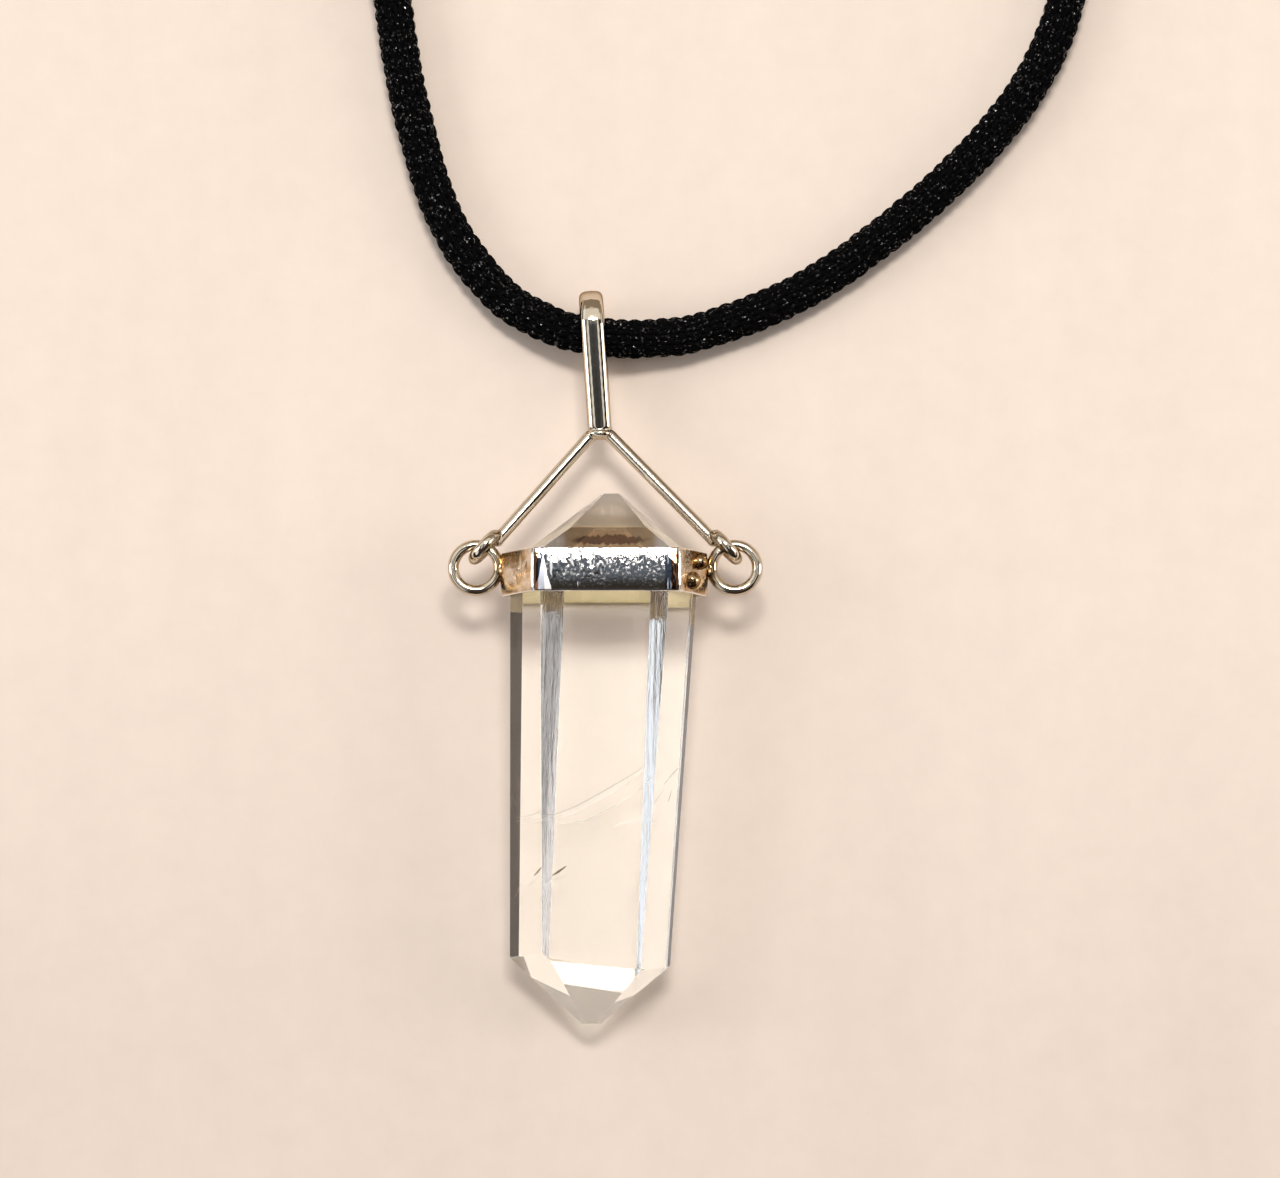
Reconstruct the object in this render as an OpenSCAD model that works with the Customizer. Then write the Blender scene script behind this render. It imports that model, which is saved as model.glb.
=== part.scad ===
// A quartz crystal pendant on a knitted cord, as it lies on a table. Sizes are millimetres.
// The pendant's length runs along Y with its capped end towards +Y, and +Z is up from the table.
// The origin is on the table, under the middle of the pendant.

/* [Crystal] */
// Height of the crystal's middle line above the table at the cap
middle_z = 5.15; // [5.1:0.05:5.4]
// Where the flat on the upper point lies along Y
crown_y = 13.9; // [13.4:0.05:14.2]
// Where the flat on the lower point lies along Y
toe_y = -32.6; // [-34:0.1:-32]

/* [Cap] */
// Upper edge of the strap along Y
cap_top = 8.5; // [8.3:0.05:8.6]
// Width of the strap, along the crystal
cap_h = 3.85; // [3:0.05:4.5]
// Thickness of the strap
strap_t = 0.45; // [0.4:0.05:0.6]
// Outside radius of the strap's bends
strap_bend = 0.75; // [0.65:0.05:0.8]

/* [Side rings] */
// Wire of the side rings
ring_wire = 0.96; // [0.8:0.02:1]
// Radius of a side ring, to the middle of its wire
ring_r = 2; // [1.95:0.05:2.2]
// Distance of a side ring's centre from the pendant's middle
ring_x = 11.37; // [11.33:0.02:11.47]

/* [Yoke] */
// Wire of the yoke
yoke_wire = 1.08; // [0.9:0.02:1.1]
// Radius of an eye, to the middle of its wire
eye_r = 1.35; // [1.3:0.05:1.4]
// Radius of the bend at the top, to the middle of the wire
top_bend = 1.4; // [1.2:0.1:2]
// Where the two arms would meet along Y if the top had no bend
arms_meet_y = 20.2; // [20:0.05:20.5]

/* [Bail] */
// Width of the half-round strap
bail_w = 2.1; // [1.8:0.1:2.4]
// Thickness of the half-round strap
bail_t = 1; // [0.8:0.05:1.05]
// Inside radius of the loop's round end
bail_r = 2.3; // [2.3:0.05:2.5]
// Where the centre of the round end lies along Y
bail_y = 29.2; // [29.1:0.05:29.5]

/* [Cord] */
// Diameter of the knitted cord
cord_d = 3.5; // [3:0.1:3.5]

/* [Clasp] */
// Length of the barrel
clasp_len = 15.9; // [14:0.1:15.9]
// Diameter of the barrel
clasp_d = 5.2; // [4.4:0.1:5.2]

/* [Hidden] */
$fn = 48;

// Space left between pieces that do not touch
gap = 0.05;

// Columns of the facet tables: the way the facet faces round the middle line, in degrees from
// straight up towards +X, its distance, and its lean in degrees towards the end that it closes.
// A side facet's distance is from the middle line at the cap's upper edge. A point facet's is how
// far past the flat it would meet the middle line of the point.
FACING = 0;
REACH = 1;
LEAN = 2;

// The lower edge of the back facet, where the crystal meets the table
rest_y = -27.6;
back_lean = atan((strap_t + gap) / (cap_top - cap_h - rest_y));
back_reach = middle_z - strap_t - gap - cap_h * tan(back_lean);

side_facets = [
    [0, 6.07, 3.4],
    [61.5, 8.04, 5.4],
    [123.9, 5.96, 1.3],
    [180, back_reach, -back_lean],
    [232.5, 5.6, -2.4],
    [301.8, 8, 2.1],
];

crown_facets = [
    [0, 0.7, 54.8],
    [71, 0.95, 47.5],
    [115, 0.6, 43],
    [180, 0.85, 50],
    [242, 0.55, 45.7],
    [292, 0.65, 51.6],
];

toe_facets = [
    [-4.8, 0.85, 42.6],
    [67.3, 0.6, 49.8],
    [120, 0.7, 44],
    [186, 0.7, 31.5],
    [240, 0.8, 42],
    [303.9, 0.9, 43.9],
];

// The middle lines of the two points
crown_x = 0.4;
crown_z = 5.15;
toe_x = -1.15;
toe_z = 3.7;

crystal_room = [30, 60, 30];
beyond = 80;

// Place of the side rings
ring_y = 7.22;
ring_z = 6.8;

// The solder of a side ring narrows from the strap into the ring's wire
solder_y = 6.9;
solder_r = 0.9;
solder_tip_r = 0.4;
solder_h = 1.1;
solder_in = 0.2;

// The eyes close round the rings at this angle, and hang on them with a little play. Seen from
// above, each stands upright in a plane that heads for the pendant's middle.
eye_turn = 67.5;
eye_heading = 47.5;
eye_play = 0.12;
eye_x = ring_x - ring_r * cos(eye_turn);
eye_y = ring_y + ring_r * sin(eye_turn);
eye_z = ring_z + ring_wire / 2 + eye_play - (eye_r - yoke_wire / 2);

// Wire and strap swell a little in a bend, and their straight runs end inside it by this lap
swell = 0.01;
lap = 0.1;

// An arm ends against its eye here, and the yoke slopes down from there to the bail on the table
bail_z = bail_r + bail_t + swell;
arm_x = 9.5;
arm_y = 9.7;
slope = atan((eye_z - bail_z) / (bail_y - arm_y));
arms_meet_x = -0.5;
arms_meet_z = eye_z - tan(slope) * (arms_meet_y - arm_y);
arm_drop = (arms_meet_y - arm_y) / cos(slope);

// The bail leans to the left
bail_x = -1.15;
bail_lean = 3.9;
foot_y = 19.85;
foot_into_wire = 0.6;
foot_len = (bail_y - foot_y) / cos(slope) / cos(bail_lean);
leg_turn = asin(bail_r / foot_len);

// Place of the clasp, where the cord's two ends meet it
clasp_x = 11;
clasp_y = 195.6;
clasp_chamfer = 0.6;

// The cord's route, from one face of the clasp round the loop to the other
route = [
    [3, 195.6, 2.6],
    [-1.5, 195.6, 2.6],
    [-7.6, 193.3, 2.2],
    [-12.9, 187, 1.8],
    [-16.6, 175.4, 1.8],
    [-18.9, 163.2, 1.8],
    [-20.5, 150.1, 1.8],
    [-21.8, 135.9, 1.8],
    [-22.9, 120.7, 1.8],
    [-23.3, 105.5, 1.8],
    [-22.7, 90.3, 1.8],
    [-21.6, 77, 1.8],
    [-20.7, 68, 1.8],
    [-19.4, 60, 1.8],
    [-17.7, 50, 1.8],
    [-14.5, 39.5, 1.8],
    [-9.8, 32.8, 1.9],
    [-5, 29.6, 2.7],
    [-1.2, 28.5, 3.4],
    [3, 28.3, 2.8],
    [8.5, 29.1, 2],
    [17, 32.5, 1.8],
    [25, 37.9, 1.8],
    [32.4, 44.5, 1.8],
    [38.1, 51.5, 1.8],
    [41.4, 59, 1.8],
    [42.5, 68, 1.8],
    [42.6, 79, 1.8],
    [42, 92.3, 1.8],
    [41.8, 106.5, 1.8],
    [42.2, 120.7, 1.8],
    [42, 135.9, 1.8],
    [41, 150.1, 1.8],
    [39.3, 163.2, 1.8],
    [36.9, 175.4, 1.8],
    [33.8, 187, 1.8],
    [29, 193.3, 2.2],
    [23.5, 195.6, 2.6],
    [19, 195.6, 2.6],
];
cord_sides = 8;
cord_steps = 2;

function unit(v) = v / norm(v);

// The half-space beyond one facet, to cut away from the crystal
module outside(at, facing, distance, lean) {
    translate(at)
        rotate([0, facing, 0])
            translate([0, 0, distance])
                rotate([lean, 0, 0])
                    translate([-beyond / 2, -beyond / 2, 0])
                        cube(beyond);
}

module crystal() {
    color([0.93, 0.92, 0.9, 0.5])
        difference() {
            translate([0, (crown_y + toe_y) / 2, middle_z])
                cube([crystal_room.x, crown_y - toe_y, crystal_room.z], center = true);
            for (f = side_facets)
                outside([0, cap_top, middle_z], f[FACING], f[REACH], f[LEAN]);
            for (f = crown_facets)
                outside([crown_x, crown_y + f[REACH], crown_z], f[FACING], 0, -f[LEAN]);
            for (f = toe_facets)
                outside([toe_x, toe_y - f[REACH], toe_z], f[FACING], 0, f[LEAN]);
        }
}

function toward(facing) = [sin(facing), cos(facing)];

// Furthest distance of a side facet from the middle line, anywhere under the strap
function strap_reach(f) = f[REACH] + max(0, -cap_h * tan(f[LEAN]));

// Corner of the section that the strap goes round, between one side facet and the next, with
// every facet moved out by grow
function corner(i, grow) =
    let (
        a = side_facets[i],
        b = side_facets[(i + 1) % len(side_facets)],
        u = toward(a[FACING]),
        v = toward(b[FACING]),
        p = strap_reach(a) + grow,
        q = strap_reach(b) + grow,
        det = u.x * v.y - u.y * v.x
    )
    [(p * v.y - q * u.y) / det, (u.x * q - v.x * p) / det];

// The same section as an outline with rounded corners
function section(grow, bend, steps = 6) = [
    for (i = [0 : len(side_facets) - 1])
        let (
            a = side_facets[i][FACING],
            next = side_facets[(i + 1) % len(side_facets)][FACING],
            b = next < a ? next + 360 : next
        )
        for (k = [0 : steps])
            corner(i, grow - bend) + [0, middle_z] + bend * toward(a + (b - a) * k / steps)
];

module band() {
    translate([0, cap_top, 0])
        rotate([90, 0, 0])
            linear_extrude(cap_h)
                difference() {
                    polygon(section(gap + strap_t, strap_bend));
                    polygon(section(gap, strap_bend - strap_t));
                }
}

module side_ring() {
    rotate_extrude()
        translate([ring_r, 0])
            circle(d = ring_wire);
}

module cap() {
    color([0.78, 0.77, 0.75]) {
        band();
        for (side = [-1, 1]) {
            translate([side * ring_x, ring_y, ring_z])
                side_ring();
            translate([side * (ring_x - ring_r + solder_in - solder_h), solder_y, ring_z])
                rotate([0, side * 90, 0])
                    cylinder(h = solder_h, r1 = solder_r, r2 = solder_tip_r);
        }
    }
}

// Straight wire from one point to another in the XY plane
module straight(from, to, d) {
    run = to - from;
    translate(from)
        rotate([0, 0, atan2(run.y, run.x)])
            rotate([0, 90, 0])
                cylinder(h = norm(run), d = d);
}

// The two arms and the bend between them, in their own plane, with the corner at the origin
module arms() {
    left = [-arm_x - arms_meet_x, -arm_drop];
    right = [arm_x - arms_meet_x, -arm_drop];
    half = acos(unit(left) * unit(right)) / 2;
    centre = unit(unit(left) + unit(right)) * top_bend / sin(half);
    leave = top_bend / tan(half);
    start = unit(right) * leave - centre;
    for (to = [left, right])
        straight(unit(to) * (leave - lap), to, yoke_wire);
    translate(centre)
        rotate([0, 0, atan2(start.y, start.x)])
            rotate_extrude(angle = 180 - 2 * half)
                translate([top_bend, 0])
                    circle(yoke_wire / 2 + swell);
}

// An eye round the wire of the side ring
module eye(side) {
    translate([side * eye_x, eye_y, eye_z])
        rotate([90, 0, -side * eye_heading])
            rotate_extrude()
                translate([eye_r, 0])
                    circle(d = yoke_wire);
}

// Section of the bail's strap: flat on y = 0 and round above it
module half_round(grow = 0) {
    round_r = (bail_w * bail_w / 4 + bail_t * bail_t) / (2 * bail_t);
    intersection() {
        translate([0, bail_t - round_r])
            circle(round_r + grow);
        translate([-bail_w, -grow])
            square([2 * bail_w, 2 * bail_t]);
    }
}

// One straight side of the bail, from inside the yoke's wire to the round end
module leg() {
    long = foot_len * cos(leg_turn);
    translate([0, -foot_len, 0])
        rotate([leg_turn, 0, 0])
            translate([0, long + lap, 0])
                rotate([90, 0, 0])
                    linear_extrude(long + lap + foot_into_wire)
                        half_round();
}

module bail() {
    translate([bail_x, bail_y, bail_z])
        rotate([-slope, 0, bail_lean]) {
            leg();
            mirror([0, 0, 1])
                leg();
            rotate([0, 90, 0])
                rotate([0, 0, -leg_turn])
                    rotate_extrude(angle = 180 + 2 * leg_turn)
                        translate([bail_r, 0])
                            rotate(-90)
                                half_round(swell);
        }
}

module yoke() {
    color([0.78, 0.77, 0.75]) {
        translate([arms_meet_x, arms_meet_y, arms_meet_z])
            rotate([-slope, 0, 0])
                arms();
        for (side = [-1, 1])
            eye(side);
        bail();
    }
}

// Catmull-Rom curve through the route's points
function route_at(i, t) =
    let (
        last = len(route) - 1,
        b = route[i],
        c = route[i + 1],
        a = i > 0 ? route[i - 1] : 2 * b - c,
        d = i + 2 <= last ? route[i + 2] : 2 * c - b
    )
    (2 * b + (c - a) * t + (2 * a - 5 * b + 4 * c - d) * t * t
        + (3 * b - a - 3 * c + d) * t * t * t) / 2;

// Which way the cord's line runs at number i. At its ends it runs straight into the clasp.
function heading(line, i) =
    let (last = len(line) - 1)
    i == 0 ? route[1] - route[0]
    : i == last ? route[len(route) - 1] - route[len(route) - 2]
    : line[i + 1] - line[i - 1];

// The ring of points round the cord's line at number i, with a flat side underneath
function cord_ring(line, i) =
    let (
        ahead = unit(heading(line, i)),
        side = unit(cross(ahead, [0, 0, 1])),
        up = cross(side, ahead)
    )
    [
        for (k = [0 : cord_sides - 1])
            let (turn = 360 * (k + 0.5) / cord_sides)
            line[i] + cord_d / 2 * (side * cos(turn) + up * sin(turn))
    ];

module cord() {
    line = [
        for (i = [0 : len(route) - 2], k = [0 : cord_steps - 1])
            route_at(i, k / cord_steps),
        route[len(route) - 1]
    ];
    n = cord_sides;
    rings = len(line);
    points = [for (i = [0 : rings - 1]) each cord_ring(line, i)];
    walls = [
        for (i = [0 : rings - 2], k = [0 : n - 1])
            let (
                a = i * n + k,
                b = i * n + (k + 1) % n
            )
            each [[a, b, b + n], [a, b + n, a + n]]
    ];
    near_end = [for (k = [0 : n - 1]) n - 1 - k];
    far_end = [for (k = [0 : n - 1]) (rings - 1) * n + k];
    color([0.08, 0.08, 0.09])
        polyhedron(points, concat([near_end], walls, [far_end]));
}

module clasp() {
    half = clasp_len / 2;
    r = clasp_d / 2;
    color([0.78, 0.77, 0.75])
        translate([clasp_x, clasp_y, r])
            rotate([0, 90, 0])
                rotate_extrude()
                    polygon([
                        [0, -half],
                        [r - clasp_chamfer, -half],
                        [r, clasp_chamfer - half],
                        [r, half - clasp_chamfer],
                        [r - clasp_chamfer, half],
                        [0, half],
                    ]);
}

crystal();
cap();
yoke();
cord();
clasp();
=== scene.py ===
"""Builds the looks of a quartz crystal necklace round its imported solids, lying on a pale table."""

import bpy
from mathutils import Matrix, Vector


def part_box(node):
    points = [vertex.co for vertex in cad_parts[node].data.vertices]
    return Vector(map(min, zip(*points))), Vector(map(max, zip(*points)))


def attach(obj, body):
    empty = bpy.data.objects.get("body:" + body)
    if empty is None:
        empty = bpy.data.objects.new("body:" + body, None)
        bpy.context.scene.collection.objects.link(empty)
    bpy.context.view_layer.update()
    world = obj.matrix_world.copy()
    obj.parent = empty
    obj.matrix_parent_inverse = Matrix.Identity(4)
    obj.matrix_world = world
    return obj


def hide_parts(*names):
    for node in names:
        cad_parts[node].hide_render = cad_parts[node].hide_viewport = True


bl_info = {
    "name": "Quartz crystal necklace",
    "version": (1, 0, 0),
    "blender": (4, 5, 0),
    "location": "View3D > Sidebar > Necklace",
    "description": "A clear quartz point in a silver strap and yoke, on a black knitted cord",
    "category": "Add Mesh",
}

import math

import bmesh
import bpy
from bpy.props import (
    FloatProperty,
    FloatVectorProperty,
    IntProperty,
    PointerProperty,
)
from bpy.types import Operator, Panel, PropertyGroup
from mathutils import Matrix, Vector, noise

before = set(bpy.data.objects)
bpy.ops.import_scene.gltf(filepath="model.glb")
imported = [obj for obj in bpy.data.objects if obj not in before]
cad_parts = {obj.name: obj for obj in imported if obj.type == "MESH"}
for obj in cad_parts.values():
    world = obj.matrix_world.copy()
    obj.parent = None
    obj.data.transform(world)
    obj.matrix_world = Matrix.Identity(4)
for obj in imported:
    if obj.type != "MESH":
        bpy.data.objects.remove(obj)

MM = 0.001
X_AXIS = Vector((1, 0, 0))
Z_AXIS = Vector((0, 0, 1))


def mm(x, y, z):
    """A place given in millimetres, as a vector in metres."""
    return Vector((x, y, z)) * MM


# The cord's route in millimetres, from one face of the clasp round the loop to the other
CORD_ROUTE = [
    (3, 195.6, 2.6),
    (-1.5, 195.6, 2.6),
    (-7.6, 193.3, 2.2),
    (-12.9, 187, 1.8),
    (-16.6, 175.4, 1.8),
    (-18.9, 163.2, 1.8),
    (-20.5, 150.1, 1.8),
    (-21.8, 135.9, 1.8),
    (-22.9, 120.7, 1.8),
    (-23.3, 105.5, 1.8),
    (-22.7, 90.3, 1.8),
    (-21.6, 77, 1.8),
    (-20.7, 68, 1.8),
    (-19.4, 60, 1.8),
    (-17.7, 50, 1.8),
    (-14.5, 39.5, 1.8),
    (-9.8, 32.8, 1.9),
    (-5, 29.6, 2.7),
    (-1.2, 28.5, 3.4),
    (3, 28.3, 2.8),
    (8.5, 29.1, 2),
    (17, 32.5, 1.8),
    (25, 37.9, 1.8),
    (32.4, 44.5, 1.8),
    (38.1, 51.5, 1.8),
    (41.4, 59, 1.8),
    (42.5, 68, 1.8),
    (42.6, 79, 1.8),
    (42, 92.3, 1.8),
    (41.8, 106.5, 1.8),
    (42.2, 120.7, 1.8),
    (42, 135.9, 1.8),
    (41, 150.1, 1.8),
    (39.3, 163.2, 1.8),
    (36.9, 175.4, 1.8),
    (33.8, 187, 1.8),
    (29, 193.3, 2.2),
    (23.5, 195.6, 2.6),
    (19, 195.6, 2.6),
]

# Sizes of the silver, in millimetres
STRAP_LOW = 4.65
STRAP_HIGH = 8.5
STRAP_GAP = 0.05
STRAP_THICK = 0.45
STRAP_BEND = 0.08
# How far the glue keeps the strap's upper flanks from the crystal
STRAP_SLACK = 0.3
RING_RADIUS = 2
RING_WIRE = 0.96

# Places on the silver, in millimetres
RING_CENTRE = (11.37, 7.22, 6.8)
BAIL_FOOT = (-0.5, 20.3, 4.84)
BAIL_TOP = (-1.15, 29.2, 3.31)

# Drops of solder, as their place and size in millimetres. The last is the wire's bend in front
# of the bail's foot.
RING_SOLDER = [
    ((8.75, 6.9, 6.8), (0.75, 0.8, 0.7)),
    ((8.5, 7.8, 6.5), (0.5, 0.6, 0.55)),
]
FLANK_SOLDER = [
    ((8.3, 7.5, 8.7), (0.7, 0.7, 0.65)),
    ((7.6, 5.75, 9.8), (0.75, 0.8, 0.65)),
]
EYE_SOLDER = [((9.5, 9.7, 6.59), (0.58, 0.58, 0.56))]
FOOT_SOLDER = [
    (BAIL_FOOT, (0.8, 0.55, 0.6)),
    ((-0.5, 19.35, 5.29), (1.05, 0.48, 0.72)),
]

# The bail's strap, in millimetres: half its width, its thickness, the loop's inside and its
# reach to the foot. Then its lean to the left and its slope down from the foot.
BAIL_HALF = 1.05
BAIL_THICK = 1
BAIL_INSIDE = 2.3
BAIL_REACH = 9.5
BAIL_LEAN = math.radians(3.9)
BAIL_SLOPE = math.radians(9.55)

# The barrel's flat end as a share of its radius, and its outline in millimetres: distance from
# its end or middle, and depth below its surface
CLASP_FLAT = 0.62
CLASP_END = [(0, 0.6), (0.25, 0.2), (0.6, 0), (1.5, 0), (1.65, 0.18), (1.95, 0.18), (2.1, 0)]
CLASP_SEAM = [(-0.22, 0), (-0.1, 0.15), (0.1, 0.15), (0.22, 0)]

# Glue on the crystal, in millimetres: its middle along X and how far it spreads from there, its
# limits along Y above the strap's front and below its back, and its dark spindle. Above the
# strap's front, the dark band and its spindle are also painted shade next to the strap
GLUE_AND_SHADE_X = 0.4
GLUE_AND_SHADE_HALF = (3.7, 4.4)
GLUE_AND_SHADE_ABOVE = (8.1, 10.9)
GLUE_BELOW = (4.2, 4.8)
SHADE_SPINDLE_Y = 9.15
SHADE_SPINDLE_HALF = (3.7, 0.46)

# The crystal's lower sides: where their grain ends in height, in millimetres, how much that line
# rises with Y, and how strongly the right side leans in at its foot
FOOT_TOP = 2.6
FOOT_SLOPE = 0.0565
FOOT_LEAN = 1450

# The strap's front, in millimetres: where its smooth ends and their brown rims begin, the filed
# spike at its left foot as place, top and spread, and the filed spot at its right foot
STRAP_SMOOTH = (5.15, 5.3)
STRAP_BROWN = (5.74, 5.82)
SPIKE = (-5.36, 7.4, 0.27)
SPOT_CENTRE = (5.3, 5.05, 10.9)

# How much of each colour the wire's silver loses, as painted reflection of the tan table, and the
# tint of its edges, darkened as painted shade of the table that they reflect
REFLECTED_WARMTH_LOSS = (0.0, 0.04, 0.12)
SHADED_EDGE_TINT = (0.38, 0.3, 0.22)

# Fractures inside the crystal: their line in millimetres, their width, and how dark they are
MAIN_FRACTURE = [
    (-7, -14.6, 4.6),
    (-5.6, -14.5, 4.8),
    (-4.2, -14.3, 5),
    (-2.4, -13.6, 5.2),
    (-0.4, -12.5, 5.4),
    (1.9, -11.2, 5.6),
    (3, -10.5, 5.8),
    (3.5, -10, 6),
]
FRACTURES = [
    (MAIN_FRACTURE, 0.08, 0.5),
    ([(x, y - 0.3, z - 0.3) for x, y, z in MAIN_FRACTURE], 0.5, 0),
    ([(-4.2, -15.1, 4), (-1.8, -14.9, 4.2), (1.2, -13.4, 4.4), (3.4, -11.9, 4.6)], 0.1, 0.2),
    ([(3.4, -11.6, 5), (5, -10.7, 5.3), (6.4, -10.1, 5.6)], 0.2, 0.1),
    ([(-4.6, -19.7, 5), (-4.1, -19.4, 5.1), (-3.4, -18.9, 5.2)], 0.22, 1),
    ([(-5.6, -20.6, 5), (-4.7, -20.2, 5), (-3.5, -19.7, 5)], 0.22, 0),
    ([(-7.2, -21.6, 4), (-6.8, -21, 4.2), (-6.5, -20.4, 4.4)], 0.12, 0.9),
    ([(4.7, -13.3, 6), (5, -12.9, 6.1), (5.3, -12.3, 6.2)], 0.14, 0.9),
    ([(0.8, -15.4, 5), (2, -15, 5.1), (3.1, -14.9, 5.2)], 0.3, 0),
]


def length_property(name, description, millimetres):
    """A length that the user can change, with its default in millimetres."""
    return FloatProperty(
        name=name,
        description=description,
        default=millimetres * MM,
        subtype="DISTANCE",
        unit="LENGTH",
        precision=5,
    )


def colour_property(name, description, colour):
    """A colour that the user can change."""
    return FloatVectorProperty(
        name=name,
        description=description,
        default=colour,
        subtype="COLOR",
        size=3,
        min=0,
        max=1,
    )


class StageSettings(PropertyGroup):
    """The table, the camera and the lamps."""

    table_colour: colour_property(
        "Table", "Colour of the table's paper", (0.8, 0.69, 0.61)
    )
    table_size: length_property("Table size", "Width of the table", 3000)
    target: FloatVectorProperty(
        name="Target",
        description="Point on the table that the camera looks at",
        default=mm(3.05, 6.12, 0),
        subtype="TRANSLATION",
        unit="LENGTH",
        size=3,
    )
    view_distance: length_property("Distance", "From the camera to its target", 400)
    view_tilt: FloatProperty(
        name="Tilt",
        description="How far the camera leans from straight above, towards the free point",
        default=math.radians(6.5),
        subtype="ANGLE",
        unit="ROTATION",
    )
    focal_length: FloatProperty(
        name="Focal length",
        description="Of the camera's lens, in millimetres",
        default=125.85,
        subtype="DISTANCE_CAMERA",
    )
    exposure: FloatProperty(
        name="Exposure",
        description="Brightness of the whole picture, in stops",
        default=0.0,
    )
    key_power: FloatProperty(
        name="Key", description="Power of the lamp overhead, in watts", default=3.77
    )
    side_power: FloatProperty(
        name="Sides", description="Power of each lamp at a side, in watts", default=1.6
    )


class CrystalSettings(PropertyGroup):
    """The cut crystal."""

    edge_width: length_property("Edge", "Width of the worn edge between two facets", 0.07)
    refraction: FloatProperty(
        name="Refraction",
        description="Index of refraction of quartz",
        default=1.544,
    )
    veil_colour: colour_property(
        "Veil", "Colour of the fine fractures inside", (1, 0.95, 0.88)
    )
    fleck_colour: colour_property(
        "Fleck", "Colour of the dark flecks inside", (0.16, 0.1, 0.06)
    )


class SilverSettings(PropertyGroup):
    """Strap, rings, yoke and clasp."""

    silver: colour_property("Silver", "Colour of clean silver", (0.93, 0.91, 0.88))
    # Darker and warmer than clean silver: painted reflection of the shaded tan table
    wire: colour_property("Wire", "Colour of the duller silver wire", (0.74, 0.67, 0.57))
    tarnish: colour_property("Tarnish", "Colour of the darkened seams", (0.16, 0.09, 0.04))
    # On the rings this is stain left by soldering; on the strap's flanks it is painted reflection of
    # the side rings and the shaded table
    stain_and_reflection: colour_property("Stain", "Golden brown left by soldering", (0.5, 0.34, 0.18))
    lining: colour_property("Lining", "Colour of the glue inside the strap", (0.7, 0.57, 0.33))
    strap_edge: length_property("Strap edge", "Radius of the strap's rims", 0.16)
    strap_dome: length_property("Strap dome", "How far the strap's faces bulge", 0.086)
    solder_grain: length_property(
        "Solder grain", "Smallest form kept where wires are soldered", 0.07
    )


class CordSettings(PropertyGroup):
    """The knitted cord."""

    diameter: length_property("Diameter", "Of the cord over its stitches", 3.5)
    core: length_property("Core", "Diameter of the body under the stitches", 2.7)
    stitch: length_property("Stitch", "Length of one stitch along the cord", 1.25)
    ribs: IntProperty(
        name="Ribs",
        description="Columns of stitches round the cord",
        default=10,
        min=6,
        max=16,
    )
    yarn_width: length_property("Yarn width", "Of one leg of a stitch", 0.56)
    yarn_depth: length_property("Yarn depth", "Of one leg of a stitch", 0.5)
    colour: colour_property("Yarn", "Colour of the yarn", (0.003, 0.003, 0.0035))


def settings():
    """The values that the panel shows, on the scene."""
    return bpy.context.scene


# Shader tools


def fill(tree, node, inputs):
    """Sets a node's inputs to values, or links them to sockets."""
    for name, value in inputs.items():
        socket = node.inputs[name]
        if isinstance(value, bpy.types.NodeSocket):
            tree.links.new(value, socket)
        elif socket.type == "RGBA":
            socket.default_value = (*value[:3], 1)
        else:
            socket.default_value = value
    return node


def put(tree, kind, inputs=None, **options):
    """A new shader node with its options set and its inputs filled."""
    node = tree.nodes.new("ShaderNode" + kind)
    for name, value in options.items():
        setattr(node, name, value)
    return fill(tree, node, inputs or {})


def math_node(tree, operation, first, *others):
    """An operation on one number or socket, or on several, taken in turn."""
    for other in others or (0.0,):
        node = put(tree, "Math", {0: first, 1: other}, operation=operation)
        first = node.outputs[0]
    return first


def product(tree, *factors):
    """Numbers or sockets multiplied."""
    return math_node(tree, "MULTIPLY", *factors)


def scaled_sum(tree, value, factor, rest):
    """A value times a factor, plus the rest."""
    inputs = {0: value, 1: factor, 2: rest}
    return put(tree, "Math", inputs, operation="MULTIPLY_ADD").outputs[0]


def remap(tree, value, low, high, to_low=0.0, to_high=1.0):
    """A value moved from one range to another and kept inside it."""
    inputs = {
        "Value": value,
        "From Min": low,
        "From Max": high,
        "To Min": to_low,
        "To Max": to_high,
    }
    return put(tree, "MapRange", inputs).outputs["Result"]


def band(tree, value, limits, soft):
    """One between two limits in millimetres, fading out at each over a soft width."""
    low, high = (limit * MM for limit in limits)
    rise = remap(tree, value, low, low + soft * MM)
    return product(tree, rise, remap(tree, value, high, high - soft * MM))


def mix_colours(tree, factor, a, b):
    """A colour between two colours."""
    return put(tree, "Mix", {0: factor, 6: a, 7: b}, data_type="RGBA").outputs[2]


def split(tree, vector):
    """The X, Y and Z of a vector."""
    return put(tree, "SeparateXYZ", {0: vector}).outputs


def object_place(tree, stretch=(1, 1, 1), turn=(0, 0, 0)):
    """Object coordinates, turned and stretched."""
    place = put(tree, "TexCoord").outputs["Object"]
    inputs = {"Vector": place, "Rotation": turn, "Scale": stretch}
    return put(tree, "Mapping", inputs).outputs["Vector"]


def grain(tree, scale, detail, roughness=0.5, stretch=(1, 1, 1), turn=(0, 0, 0)):
    """Noise through the object, from 0 to 1."""
    inputs = {
        "Vector": object_place(tree, stretch, turn),
        "Scale": scale,
        "Detail": detail,
        "Roughness": roughness,
    }
    return put(tree, "TexNoise", inputs).outputs["Fac"]


def marked(tree, name):
    """A value that the faces carry."""
    return put(tree, "Attribute", attribute_name=name).outputs["Fac"]


def face_normal(tree):
    """Which way the flat face looks."""
    return put(tree, "NewGeometry").outputs["True Normal"]


def add_relief(tree, shader, strength, depth, height):
    """Bumps on a shader's surface, with their depth in millimetres."""
    inputs = {"Strength": strength, "Distance": depth * MM, "Height": height}
    bump = put(tree, "Bump", inputs)
    tree.links.new(bump.outputs["Normal"], shader.inputs["Normal"])


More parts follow.
